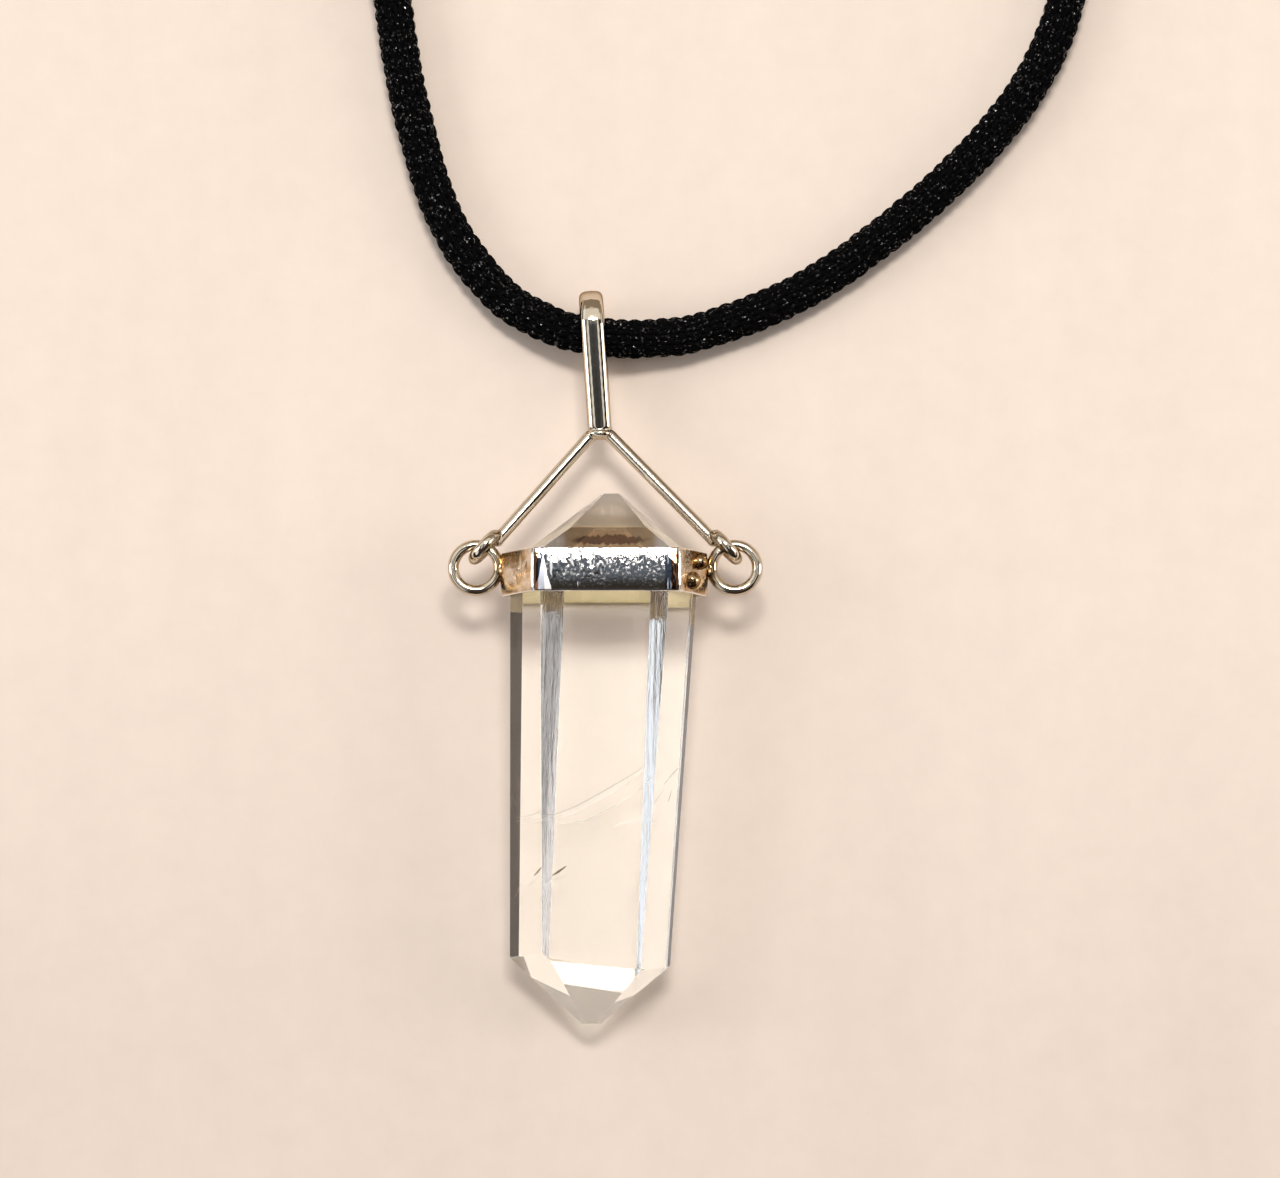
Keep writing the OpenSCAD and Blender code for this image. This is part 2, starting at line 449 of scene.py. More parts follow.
def new_group(name, inputs, outputs):
    """A shader node group with named numbers in, with their defaults, and out."""
    group = bpy.data.node_groups.new(name, "ShaderNodeTree")
    add_socket = group.interface.new_socket
    for socket, default in inputs.items():
        made = add_socket(socket, in_out="INPUT", socket_type="NodeSocketFloat")
        made.default_value = default
    for socket in outputs:
        add_socket(socket, in_out="OUTPUT", socket_type="NodeSocketFloat")
    start = group.nodes.new("NodeGroupInput")
    end = group.nodes.new("NodeGroupOutput")
    return group, start.outputs, end.inputs


def use_group(tree, group, inputs=None):
    """The outputs of a group placed in a material with its own values."""
    return put(tree, "Group", inputs, node_tree=group).outputs


def new_material(name):
    """A material, its tree and its Principled shader."""
    material = bpy.data.materials.new(name)
    material.use_nodes = True
    tree = material.node_tree
    return material, tree, tree.nodes["Principled BSDF"]


def scratch_group():
    """Fine straight scratches in three directions, as a height and a mask."""
    if "Scratches" in bpy.data.node_groups:
        return bpy.data.node_groups["Scratches"]
    group, given, out = new_group(
        "Scratches", {"Fineness": 900.0, "Sparseness": 0.62}, ["Height", "Mask"]
    )
    cuts = []
    for turn in (0.35, 1.45, 2.3):
        line = grain(group, given["Fineness"], 3.0, 0.6, (1, 0.06, 1), (0, 0, turn))
        cuts.append(remap(group, line, given["Sparseness"], 0.8))
    total = math_node(group, "MAXIMUM", *cuts)
    group.links.new(product(group, total, -1.0), out["Height"])
    group.links.new(total, out["Mask"])
    return group


def tarnish_group():
    """Where dirt stays in hollows and seams, broken up by noise."""
    if "Tarnish" in bpy.data.node_groups:
        return bpy.data.node_groups["Tarnish"]
    group, given, out = new_group("Tarnish", {"Amount": 1.0}, ["Mask"])
    hollow = put(group, "NewGeometry").outputs["Pointiness"]
    hollow = remap(group, hollow, 0.49, 0.44)
    patch = remap(group, grain(group, 700.0, 4.0), 0.35, 0.65, 0.35, 1.0)
    mask = product(group, hollow, patch, given["Amount"])
    group.links.new(mask, out["Mask"])
    return group


def yarn_group():
    """Filaments along a leg of yarn, from its own UV map, and spots of gloss on them."""
    if "Yarn" in bpy.data.node_groups:
        return bpy.data.node_groups["Yarn"]
    group, given, out = new_group("Yarn", {"Filaments": 9.0}, ["Height", "Gloss"])
    around, along, _ = split(group, put(group, "UVMap", uv_map="yarn").outputs["UV"])
    # The filaments twist a little round the leg
    strand = scaled_sum(group, along, 0.35, around)
    wave = product(group, strand, given["Filaments"], math.tau)
    wave = math_node(group, "SINE", wave)
    fuzz = grain(group, 2600.0, 3.0)
    group.links.new(scaled_sum(group, wave, 0.35, fuzz), out["Height"])
    spot = grain(group, 3600.0, 1.0)
    group.links.new(remap(group, spot, 0.35, 0.72), out["Gloss"])
    return group


# Materials


def quartz_material():
    """Clear quartz: polished facets, with the grain of the grinding on the lower sides."""
    material, tree, shader = new_material("clear quartz")
    streak = grain(tree, 1400.0, 5.0, stretch=(1, 0.05, 1))
    pits = grain(tree, 2500.0, 6.0, stretch=(1, 0.5, 1))
    x, y, z = split(tree, object_place(tree))
    # The right lower side leans in a little at its foot
    right = remap(tree, x, 0, MM)
    lean = product(tree, z, right, FOOT_LEAN)
    height = scaled_sum(tree, pits, 0.5, math_node(tree, "ADD", streak, lean))
    # The grain reaches from the back facet up to a line that rises with the crystal's taper
    foot = math_node(tree, "SUBTRACT", z, product(tree, y, FOOT_SLOPE))
    foot = remap(tree, foot, FOOT_TOP * MM, (FOOT_TOP - 0.2) * MM)
    weaker = remap(tree, x, 0.0, -MM, 1.0, 0.9)
    lower = product(tree, marked(tree, "lower"), foot, weaker)
    add_relief(tree, shader, lower, 0.05, height)
    # Shadow rays pass the flat facets, and the steep ones turn them aside
    steep = math_node(tree, "ABSOLUTE", split(tree, face_normal(tree))["Z"])
    clear = remap(tree, steep, 0.35, 0.95, 0.0, 0.61)
    cool = product(tree, clear, 1.07)
    tint = put(tree, "CombineColor", {0: clear, 1: cool, 2: cool}).outputs[0]
    passing = put(tree, "BsdfTransparent", {"Color": tint}).outputs[0]
    # Glue squeezed out above the strap's front, its dark tint also painted shade next to the strap,
    # and in a thin line below its back
    front = marked(tree, "front")
    ragged = math_node(tree, "SUBTRACT", y, 0.45 * MM)
    ragged = scaled_sum(tree, pits, 0.9 * MM, ragged)
    beside = math_node(tree, "SUBTRACT", x, GLUE_AND_SHADE_X * MM)
    near = math_node(tree, "ABSOLUTE", beside)
    near = remap(tree, near, GLUE_AND_SHADE_HALF[1] * MM, GLUE_AND_SHADE_HALF[0] * MM)
    glue_and_shade = product(tree, band(tree, ragged, GLUE_AND_SHADE_ABOVE, 0.2), near, front)
    line = product(tree, band(tree, ragged, GLUE_BELOW, 0.1), marked(tree, "back"))
    # The glue's dark spindle, where it is thickest: painted shade next to the strap
    wide, high = (half * MM for half in SHADE_SPINDLE_HALF)
    across = math_node(tree, "DIVIDE", beside, wide)
    along = math_node(tree, "SUBTRACT", ragged, SHADE_SPINDLE_Y * MM)
    along = math_node(tree, "DIVIDE", along, high)
    shade_spindle = math_node(tree, "POWER", along, 2)
    shade_spindle = math_node(tree, "ADD", math_node(tree, "POWER", across, 2), shade_spindle)
    shade_spindle = product(tree, remap(tree, shade_spindle, 1.1, 0.6), front)
    ground = marked(tree, "ground")
    matt = product(tree, ground, 0.45)
    glue = product(tree, math_node(tree, "ADD", glue_and_shade, line), 0.12)
    worn = product(tree, lower, remap(tree, streak, 0.5, 0.7, 0.0, 0.12))
    colour = mix_colours(tree, ground, (1, 1, 1), (0.84, 0.76, 0.66))
    # Dark golden brown above the strap's front: glue, and painted shade next to the strap
    colour = mix_colours(tree, glue_and_shade, colour, (0.5, 0.29, 0.12))
    colour = mix_colours(tree, line, colour, (0.95, 0.88, 0.66))
    # The spindle's near-black brown is painted shade
    inputs = {
        "Base Color": mix_colours(tree, shade_spindle, colour, (0.07, 0.03, 0.014)),
        "Roughness": math_node(tree, "MAXIMUM", matt, glue, worn),
        "Transmission Weight": 1,
        "IOR": settings().crystal.refraction,
    }
    fill(tree, shader, inputs)
    shadow = put(tree, "LightPath").outputs["Is Shadow Ray"]
    both = put(tree, "MixShader", {0: shadow, 1: shader.outputs[0], 2: passing})
    tree.links.new(both.outputs[0], tree.nodes["Material Output"].inputs["Surface"])
    return material


def veil_material():
    """Fine fractures inside the quartz: pale threads and dark flecks, broken by noise."""
    material, tree, shader = new_material("fractures")
    values = settings().crystal
    dark = marked(tree, "dark")
    breaks = remap(tree, grain(tree, 2200.0, 4.0, 0.7), 0.25, 0.5)
    thick = remap(tree, dark, 0, 0.4, 0.16, 0.95)
    inputs = {
        "Base Color": mix_colours(tree, dark, values.veil_colour, values.fleck_colour),
        "Roughness": 0.6,
        "Alpha": product(tree, breaks, thick),
    }
    fill(tree, shader, inputs)
    return material


def silver_material(name, roughness, scratches, tarnish, bump, reflected_warmth=0.0, burnt=None):
    """Silver with scratches and darkened seams, browned near the middle if burnt is given.

    Burnt is how far from the middle, in millimetres, the brown is whole and where it ends.
    """
    material, tree, shader = new_material(name)
    values = settings().silver
    mask = use_group(tree, tarnish_group(), {"Amount": tarnish})["Mask"]
    # The wire's warmer, darker colour and dark edge tint are painted reflection of the shaded tan
    # table
    clean = [c * (1 - reflected_warmth * loss) for c, loss in zip(values.wire, REFLECTED_WARMTH_LOSS)]
    colour = mix_colours(tree, mask, clean, values.tarnish)
    if burnt:
        inner, outer = burnt
        aside = math_node(tree, "ABSOLUTE", split(tree, object_place(tree))["X"])
        patch = remap(tree, grain(tree, 1100.0, 3.0), 0.42, 0.56)
        brown = mix_colours(tree, patch, values.tarnish, values.stain_and_reflection)
        colour = mix_colours(tree, remap(tree, aside, outer * MM, inner * MM), colour, brown)
    marks = use_group(tree, scratch_group())
    rough = scaled_sum(tree, marks["Mask"], scratches, roughness)
    inputs = {
        "Base Color": colour,
        "Metallic": 1,
        "Specular Tint": SHADED_EDGE_TINT,
        "Roughness": scaled_sum(tree, mask, 0.3, rough),
    }
    fill(tree, shader, inputs)
    add_relief(tree, shader, bump, 0.03, marks["Height"])
    return material


def strap_material():
    """The strap: silver rubbed to a frosted face, flecks, painted reflection on its flanks, yellowed
    glue inside.
    """
    material, tree, shader = new_material("frosted silver")
    values = settings().silver
    flecks = grain(tree, 4200.0, 3.0, 0.6)
    dents = grain(tree, 700.0, 2.0, stretch=(1, 0.7, 1))
    marks = use_group(tree, scratch_group(), {"Fineness": 1100.0, "Sparseness": 0.6})
    height = product(tree, remap(tree, dents, 0.58, 0.78), 1.2)
    height = scaled_sum(tree, flecks, 0.14, height)
    add_relief(tree, shader, 1.0, 0.04, scaled_sum(tree, marks["Height"], 0.15, height))
    x, y, _ = split(tree, object_place(tree))
    across, _, up = split(tree, face_normal(tree))
    front = remap(tree, up, 0.9, 0.97)
    side = remap(tree, math_node(tree, "ABSOLUTE", across), 0.6, 0.8)
    # The front's smooth ends, with a brown rim
    aside = math_node(tree, "ABSOLUTE", x)
    smooth, ends = (
        product(tree, remap(tree, aside, start * MM, full * MM), front)
        for start, full in (STRAP_SMOOTH, STRAP_BROWN)
    )
    # Golden brown in patches on the flanks: painted reflection of the side rings and the shaded
    # table
    stain_and_reflection = remap(tree, grain(tree, 800.0, 3.0), 0.35, 0.6, 0.45, 1.0)
    stain_and_reflection = product(tree, side, stain_and_reflection)
    inside = marked(tree, "inside")
    lining = remap(tree, y, 5.6 * MM, 6.4 * MM)
    lining = mix_colours(tree, lining, values.lining, (0.5, 0.4, 0.31))
    colour = mix_colours(tree, stain_and_reflection, values.silver, values.stain_and_reflection)
    colour = mix_colours(tree, smooth, colour, (0.42, 0.45, 0.52))
    colour = mix_colours(tree, ends, colour, (0.2, 0.1, 0.06))
    # Filed corners at the foot of the front catch the light: a ragged spike and a round spot
    spike_x, spike_top, spread = SPIKE
    left = math_node(tree, "ABSOLUTE", math_node(tree, "SUBTRACT", x, spike_x * MM))
    peak = math_node(tree, "SUBTRACT", spike_top * MM, y)
    peak = product(tree, peak, spread)
    ragged = math_node(tree, "SUBTRACT", dents, 0.35)
    ragged = product(tree, ragged, 0.6 * MM)
    left = math_node(tree, "ADD", math_node(tree, "SUBTRACT", peak, left), ragged)
    left = remap(tree, left, 0, 0.12 * MM)
    inputs = {0: object_place(tree), 1: mm(*SPOT_CENTRE)}
    spot = put(tree, "VectorMath", inputs, operation="DISTANCE").outputs["Value"]
    right = remap(tree, spot, 0.5 * MM, 0.4 * MM)
    filed = math_node(tree, "MAXIMUM", left, right)
    rubbed = product(
        tree,
        remap(tree, flecks, 0.48, 0.7),
        remap(tree, smooth, 1, 0),
        remap(tree, y, 4.95 * MM, 5.9 * MM, 0.1, 0.2),
    )
    rubbed = math_node(tree, "ADD", rubbed, 0.045)
    rough = math_node(
        tree,
        "MAXIMUM",
        scaled_sum(tree, stain_and_reflection, 0.15, rubbed),
        product(tree, filed, front, 0.45),
        product(tree, inside, 0.5),
    )
    inputs = {
        "Base Color": mix_colours(tree, inside, colour, lining),
        "Metallic": remap(tree, inside, 0, 1, 1, 0),
        "Roughness": rough,
    }
    fill(tree, shader, inputs)
    return material


def yarn_material():
    """Black satin yarn: glossy filaments that catch small lights."""
    material, tree, shader = new_material("black satin yarn")
    yarn = use_group(tree, yarn_group())
    inputs = {
        "Base Color": settings().cord.colour,
        "Roughness": remap(tree, yarn["Gloss"], 0, 1, 0.32, 0.12),
        "Specular IOR Level": remap(tree, yarn["Gloss"], 0.68, 1, 0.003, 1),
    }
    fill(tree, shader, inputs)
    add_relief(tree, shader, 0.4, 0.04, yarn["Height"])
    return material


def core_material():
    """The dark body of the cord under its stitches."""
    material, tree, shader = new_material("cord core")
    dark = settings().cord.colour
    colour = mix_colours(tree, grain(tree, 1800.0, 3.0), [c * 0.5 for c in dark], dark)
    fill(tree, shader, {"Base Color": colour, "Roughness": 0.8})
    return material


def table_material():
    """Pale warm paper with faint streaks and fibres, and painted shade towards the free point."""
    material, tree, shader = new_material("pale table")
    base = settings().stage.table_colour
    streak = grain(tree, 90.0, 6.0, stretch=(1, 0.12, 1))
    mottle = grain(tree, 300.0, 8.0, 0.65)
    both = scaled_sum(tree, mottle, 0.5, product(tree, streak, 0.5))
    light = [min(1, c * 1.035) for c in base]
    dark = [c * 0.965 for c in base]
    colour = mix_colours(tree, remap(tree, both, 0.35, 0.65), dark, light)
    # Painted shade: the table darkens a little towards the free point, where the light falls off
    y = split(tree, object_place(tree))["Y"]
    shade = remap(tree, y, 4 * MM, -36 * MM, 0, 0.09)
    colour = mix_colours(tree, shade, colour, (0, 0, 0))
    fill(tree, shader, {"Base Color": colour, "Roughness": 0.65, "Specular IOR Level": 0.25})
    add_relief(tree, shader, 0.15, 0.05, mottle)
    return material


# Modelling tools


def new_object(name, data):
    """An object at the origin, in the scene."""
    made = bpy.data.objects.new(name, data)
    bpy.context.scene.collection.objects.link(made)
    return made


def new_piece(name, mesh, material, smooth=True):
    """An object for a finished mesh, with its material."""
    piece = new_object(name, mesh)
    mesh.materials.clear()
    mesh.materials.append(material)
    mesh.polygons.foreach_set("use_smooth", [smooth] * len(mesh.polygons))
    return piece


def mesh_of(bm, name):
    """A mesh from a bmesh, which is freed."""
    mesh = bpy.data.meshes.new(name)
    bm.to_mesh(mesh)
    bm.free()
    return mesh


def placed(piece, slot, *nodes):
    """The piece rides with the necklace and stands for its nodes."""
    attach(piece, "root")
    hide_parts(*nodes)
    return piece


def apply_modifiers(piece):
    """Turns a piece's modifiers into its mesh."""
    graph = bpy.context.evaluated_depsgraph_get()
    mesh = bpy.data.meshes.new_from_object(piece.evaluated_get(graph))
    piece.modifiers.clear()
    piece.data = mesh
    return piece


def shade_flat_faces(piece):
    """Keeps broad faces flat next to their small rounded edges, and applies all modifiers."""
    normals = piece.modifiers.new("flat faces", "WEIGHTED_NORMAL")
    normals.keep_sharp = True
    apply_modifiers(piece)


def solid_copy(node):
    """A bmesh of a CAD node with its loose triangles merged."""
    bm = bmesh.new()
    bm.from_mesh(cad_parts[node].data)
    bmesh.ops.remove_doubles(bm, verts=bm.verts, dist=0.002 * MM)
    return bm


def spin_round(bm, verts, edges, centre, axis, steps):
    """A surface of revolution from a line of vertices and edges."""
    bmesh.ops.spin(
        bm,
        geom=[*verts, *edges],
        cent=centre,
        axis=axis,
        angle=math.tau,
        steps=steps,
        use_merge=True,
    )


def add_wire_ring(bm, centre, axis, radius, wire):
    """A closed ring of round wire."""
    across = axis.orthogonal().normalized()
    section = bmesh.ops.create_circle(
        bm,
        segments=20,
        radius=wire / 2,
        matrix=Matrix.Translation(centre + across * radius)
        @ across.cross(axis).to_track_quat("Z", "Y").to_matrix().to_4x4(),
    )
    edges = {e for v in section["verts"] for e in v.link_edges}
    spin_round(bm, section["verts"], edges, centre, axis, 72)


def add_solder(bm, drops, side=1):
    """Drops of solder, each with its place and size, on the right side or mirrored."""
    for (x, y, z), size in drops:
        bmesh.ops.create_icosphere(
            bm,
            subdivisions=3,
            radius=1,
            matrix=Matrix.Translation(mm(side * x, y, z)) @ Matrix.Diagonal((*mm(*size), 1)),
        )


def skin(bm, one, two):
    """Faces between two closed rings of vertices."""
    corners = zip(one, one[1:] + one[:1], two[1:] + two[:1], two)
    return [bm.faces.new(four) for four in corners]


def soldered(name, bm, voxel, passes, material):
    """A piece whose joined wires flow into each other."""
    piece = new_piece(name, mesh_of(bm, name), material)
    remesh = piece.modifiers.new("join", "REMESH")
    remesh.mode = "VOXEL"
    remesh.voxel_size = voxel
    remesh.use_smooth_shade = True
    smooth = piece.modifiers.new("flow", "SMOOTH")
    smooth.factor = 0.5
    smooth.iterations = passes
    return apply_modifiers(piece)


# Pieces


def crystal_bmesh():
    """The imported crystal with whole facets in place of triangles."""
    bm = solid_copy("crystal")
    bmesh.ops.dissolve_limit(
        bm, angle_limit=math.radians(0.3), verts=bm.verts, edges=bm.edges
    )
    return bm


def build_crystal():
    """The crystal: its facets meet in narrow worn edges, and its points are blunt."""
    values = settings().crystal
    bm = crystal_bmesh()
    names = ("ground", "lower", "back", "front")
    layers = [bm.faces.layers.float.new(name) for name in names]
    for face in bm.faces:
        _, along, up = face.normal
        point = abs(along) > 0.3
        hidden = point and up < 0
        # The upper point's steep front facets are half ground
        ground = 0.7 if along > 0.7 and up > 0.4 else hidden or abs(along) > 0.98
        marks = (ground, not point and -0.8 < up < -0.3, up < -0.95, up > 0.95)
        for layer, mark in zip(layers, marks):
            face[layer] = float(mark)
    bmesh.ops.bevel(
        bm,
        geom=list(bm.edges),
        offset=values.edge_width / 2,
        offset_type="WIDTH",
        segments=1,
        profile=0.5,
        affect="EDGES",
        material=-1,
    )
    piece = new_piece("crystal_body", mesh_of(bm, "crystal_body"), quartz_material(), False)
    placed(piece, "quartz", "crystal")


def add_thread(bm, points, width, dark):
    """A thin ribbon through the points given in millimetres, widest at its middle."""
    layer = bm.faces.layers.float["dark"]
    points = [mm(*point) for point in points]
    sides = []
    for i, point in enumerate(points):
        along = points[min(i + 1, len(points) - 1)] - points[max(i - 1, 0)]
        share = math.sin(math.pi * (i + 0.35) / (len(points) - 0.3))
        across = along.cross(Z_AXIS).normalized() * width * MM / 2 * share
        sides.append((bm.verts.new(point - across), bm.verts.new(point + across)))
    for one, two in zip(sides, sides[1:]):
        face = bm.faces.new((one[0], one[1], two[1], two[0]))
        face[layer] = dark


def build_veils():
    """The fractures that cross the crystal below its middle, and a few dark flecks."""
    bm = bmesh.new()
    bm.faces.layers.float.new("dark")
    for points, width, dark in FRACTURES:
        add_thread(bm, points, width, dark)
    piece = new_piece("crystal_veils", mesh_of(bm, "crystal_veils"), veil_material(), False)
    placed(piece, "quartz", "crystal")


def strap_corners(bm, grow, low, high):
    """Corners of a section that clears the crystal's sides by grow, with the sides they join."""
    planes = []
    for face in bm.faces:
        if abs(face.normal.y) > 0.2:
            continue
        flat = Vector((face.normal.x, 0, face.normal.z))
        offset = face.normal.dot(face.verts[0].co)
        reach = max((offset - face.normal.y * y) / flat.length for y in (low, high))
        flat.normalize()
        slack = STRAP_SLACK * MM if abs(flat.x) > 0.5 and flat.z > 0 else 0
        planes.append((math.atan2(flat.x, flat.z), flat, reach + grow + slack))
    planes.sort(key=lambda plane: plane[0])
    corners = []
    for (_, u, p), (_, v, q) in zip(planes, planes[1:] + planes[:1]):
        det = u.x * v.z - u.z * v.x
        corner = Vector(((p * v.z - q * u.z) / det, 0, (u.x * q - v.x * p) / det))
        corners.append((corner, u, v))
    return corners


def strap_profile(low, high, inner, outer, dome, rim):
    """The strap's own section, as distance out and height: domed outside, with round rims."""
    turns = [math.pi / 2 * step / 3 for step in range(4)]
    arc = [(outer - rim + rim * math.sin(turn), rim - rim * math.cos(turn)) for turn in turns]
    profile = [(inner, low), (inner, high), *((x, high - y) for x, y in arc)]
    for row in range(1, 10):
        share = row / 10
        y = high - rim + (low - high + 2 * rim) * share
        profile.append((outer + dome * (1 - (2 * share - 1) ** 2), y))
    return profile + [(x, low + y) for x, y in reversed(arc)]


def build_strap():
    """The strap bent round the crystal, with tight bends and softened rims."""
    values = settings().silver
    low, high = STRAP_LOW * MM, STRAP_HIGH * MM
    source = crystal_bmesh()
    inner = STRAP_BEND * MM
    corners = strap_corners(source, STRAP_GAP * MM - inner, low, high)
    source.free()
    outer = inner + STRAP_THICK * MM
    profile = strap_profile(low, high, inner, outer, values.strap_dome, values.strap_edge)
    bm = bmesh.new()
    layer = bm.faces.layers.float.new("inside")
    rings = []
    for reach, y in profile:
        ring = []
        for corner, u, v in corners:
            for step in range(5):
                facing = u.slerp(v, step / 4)
                place = corner + facing * reach
                ring.append(bm.verts.new(Vector((place.x, y, place.z))))
        rings.append(ring)
    for number, (one, two) in enumerate(zip(rings, rings[1:] + rings[:1])):
        for face in skin(bm, one, two):
            face[layer] = 1.0 if number == 0 else 0.0
    bmesh.ops.recalc_face_normals(bm, faces=bm.faces)
    piece = new_piece("strap", mesh_of(bm, "strap"), strap_material())
    shade_flat_faces(piece)
    placed(piece, "cap_silver", "cap")


def build_side_rings():
    """The two side rings with the solder that holds them to the strap."""
    values = settings().silver
    bm = bmesh.new()
    x, y, z = RING_CENTRE
    for side in (-1, 1):
        add_wire_ring(bm, mm(side * x, y, z), Z_AXIS, RING_RADIUS * MM, RING_WIRE * MM)
        add_solder(bm, RING_SOLDER, side)
    add_solder(bm, FLANK_SOLDER)
    material = silver_material(
        "ring silver",
        roughness=0.07,
        scratches=0.1,
        tarnish=0.9,
        bump=0.15,
        reflected_warmth=0.9,
        burnt=(9.4, 9.9),
    )
    piece = soldered("side_rings", bm, values.solder_grain, 8, material)
    placed(piece, "cap_silver", "cap")


def add_bail(bm):
    """The bail's strap, flat in its middle and round at its edges, bent over the cord."""
    turn = math.asin(BAIL_INSIDE / BAIL_REACH)
    path = [(Vector((0, -BAIL_REACH, 0)), math.pi / 2 + turn)]
    for step in range(25):
        facing = math.pi / 2 + turn - (math.pi + 2 * turn) * step / 24
        path.append((Vector((0, math.cos(facing), math.sin(facing))) * BAIL_INSIDE, facing))
    path.append((Vector((0, -BAIL_REACH, 0)), -math.pi / 2 - turn))
    place = (
        Matrix.Translation(mm(*BAIL_TOP))
        @ Matrix.Rotation(BAIL_LEAN, 4, "Z")
        @ Matrix.Rotation(-BAIL_SLOPE, 4, "X")
    )
    rings = []
    for point, facing in path:
        out = Vector((0, math.cos(facing), math.sin(facing)))
        ring = []
        for step in range(17):
            angle = math.pi * step / 16
            across = math.copysign(abs(math.cos(angle)) ** 0.6, math.cos(angle))
            rise = math.sin(angle) ** 0.6
            spot = point + X_AXIS * BAIL_HALF * across + out * BAIL_THICK * rise
            ring.append(bm.verts.new(place @ (spot * MM)))
        rings.append(ring)
    for one, two in zip(rings, rings[1:]):
        skin(bm, one, two)
    bm.faces.new(rings[0])
    bm.faces.new(rings[-1])
    bmesh.ops.recalc_face_normals(bm, faces=bm.faces)


def build_yoke():
    """The yoke: arms, eyes and bail flow together where they are soldered."""
    values = settings().silver
    bm = solid_copy("yoke")
    add_bail(bm)
    foot = BAIL_FOOT[1] * MM
    top = BAIL_TOP[1] * MM
    # The bail narrows a little towards its foot
    for vert in bm.verts:
        if vert.co.y > foot:
            share = min(1, (vert.co.y - foot) / (top - foot))
            middle = (BAIL_FOOT[0] + (BAIL_TOP[0] - BAIL_FOOT[0]) * share) * MM
            vert.co.x = middle + (vert.co.x - middle) * (0.93 + 0.11 * share)
    for side in (-1, 1):
        add_solder(bm, EYE_SOLDER, side)
    add_solder(bm, FOOT_SOLDER)
    material = silver_material(
        "wire silver", roughness=0.07, scratches=0.1, tarnish=0.9, bump=0.14, reflected_warmth=0.6
    )
    piece = soldered("yoke_wire", bm, values.solder_grain, 6, material)
    placed(piece, "wire_silver", "yoke")


def build_clasp():
    """The barrel: turned ends, a groove at each and a seam round its middle."""
    low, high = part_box("clasp")
    centre = (low + high) / 2
    half = (high.x - low.x) / 2
    radius = (high.z - low.z) / 2
    end = [(-half, radius * CLASP_FLAT)]
    end += [(-half + x * MM, radius - depth * MM) for x, depth in CLASP_END]
    seam = [(x * MM, radius - depth * MM) for x, depth in CLASP_SEAM]
    profile = end + seam + [(-x, r) for x, r in reversed(end)]
    bm = bmesh.new()
    verts = [bm.verts.new(centre + Vector((x, 0, r))) for x, r in profile]
    edges = [bm.edges.new(pair) for pair in zip(verts, verts[1:])]
    spin_round(bm, verts, edges, centre, X_AXIS, 64)
    bmesh.ops.holes_fill(bm, edges=[e for e in bm.edges if e.is_boundary])
    bmesh.ops.recalc_face_normals(bm, faces=bm.faces)
    material = silver_material(
        "clasp silver", roughness=0.2, scratches=0.15, tarnish=0.7, bump=0.3
    )
    piece = new_piece("clasp_barrel", mesh_of(bm, "clasp_barrel"), material)
    bevel = piece.modifiers.new("soft edges", "BEVEL")
    bevel.width = 0.05 * MM
    bevel.segments = 2
    bevel.limit_method = "ANGLE"
    shade_flat_faces(piece)
    return placed(piece, "clasp_silver", "clasp")


def cord_curve():
    """One open spline through the cord's route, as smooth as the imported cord's line."""
    points = [mm(*p) for p in CORD_ROUTE]
    curve = bpy.data.curves.new("cord_core", "CURVE")
    curve.dimensions = "3D"
    curve.twist_mode = "MINIMUM"
    curve.resolution_u = 16
    spline = curve.splines.new("BEZIER")
    spline.bezier_points.add(len(points) - 1)
    last = len(points) - 1
    for i, (knot, point) in enumerate(zip(spline.bezier_points, points)):
        before = points[i - 1] if i > 0 else 2 * point - points[1]
        after = points[i + 1] if i < last else 2 * point - points[i - 1]
        reach = (after - before) / 6
        knot.handle_left_type = knot.handle_right_type = "FREE"
        knot.co = point
        knot.handle_left = point - reach
        knot.handle_right = point + reach
    return curve


def add_stitch_leg(bm, place, lean, width, depth, reach, turn):
    """One leg of a stitch: a spindle of yarn along X that leans sideways and dives at its ends."""
    leg = bmesh.ops.create_uvsphere(
        bm,
        u_segments=7,
        v_segments=7,
        radius=1,
        matrix=Matrix.Rotation(math.pi / 2, 4, "Y"),
        calc_uvs=True,
    )
    for vert in leg["verts"]:
        along, across, out = vert.co
        vert.co = (
            along * reach,
            across * width / 2 + lean * along,
            out * depth / 2 - along * along * depth * 0.55,
        )
    bmesh.ops.translate(bm, verts=leg["verts"], vec=place)
    bmesh.ops.rotate(
        bm, verts=leg["verts"], cent=Vector(), matrix=Matrix.Rotation(turn, 3, "X")
    )


def stitch_row():
    """One row of stitches round the cord, as a mesh that starts at the origin and runs along X."""
    values = settings().cord
    bm = bmesh.new()
    bm.loops.layers.uv.new("yarn")
    out = (values.diameter - values.yarn_depth) / 2
    rib = math.tau / values.ribs
    spread = values.diameter / 2 * rib
    for number in range(values.ribs):
        for side in (-1, 1):
            add_stitch_leg(
                bm,
                place=Vector((values.stitch / 2, side * spread * 0.23, out)),
                lean=side * spread * 0.15,
                width=values.yarn_width,
                depth=values.yarn_depth,
                reach=values.stitch * 0.78,
                turn=rib * number,
            )
    return mesh_of(bm, "stitch_row")


def roughen(mesh, amount, size):
    """Uneven stitches: every vertex moves a little, with its neighbours."""
    for vert in mesh.vertices:
        push = noise.noise_vector(vert.co / size)
        vert.co += push * amount


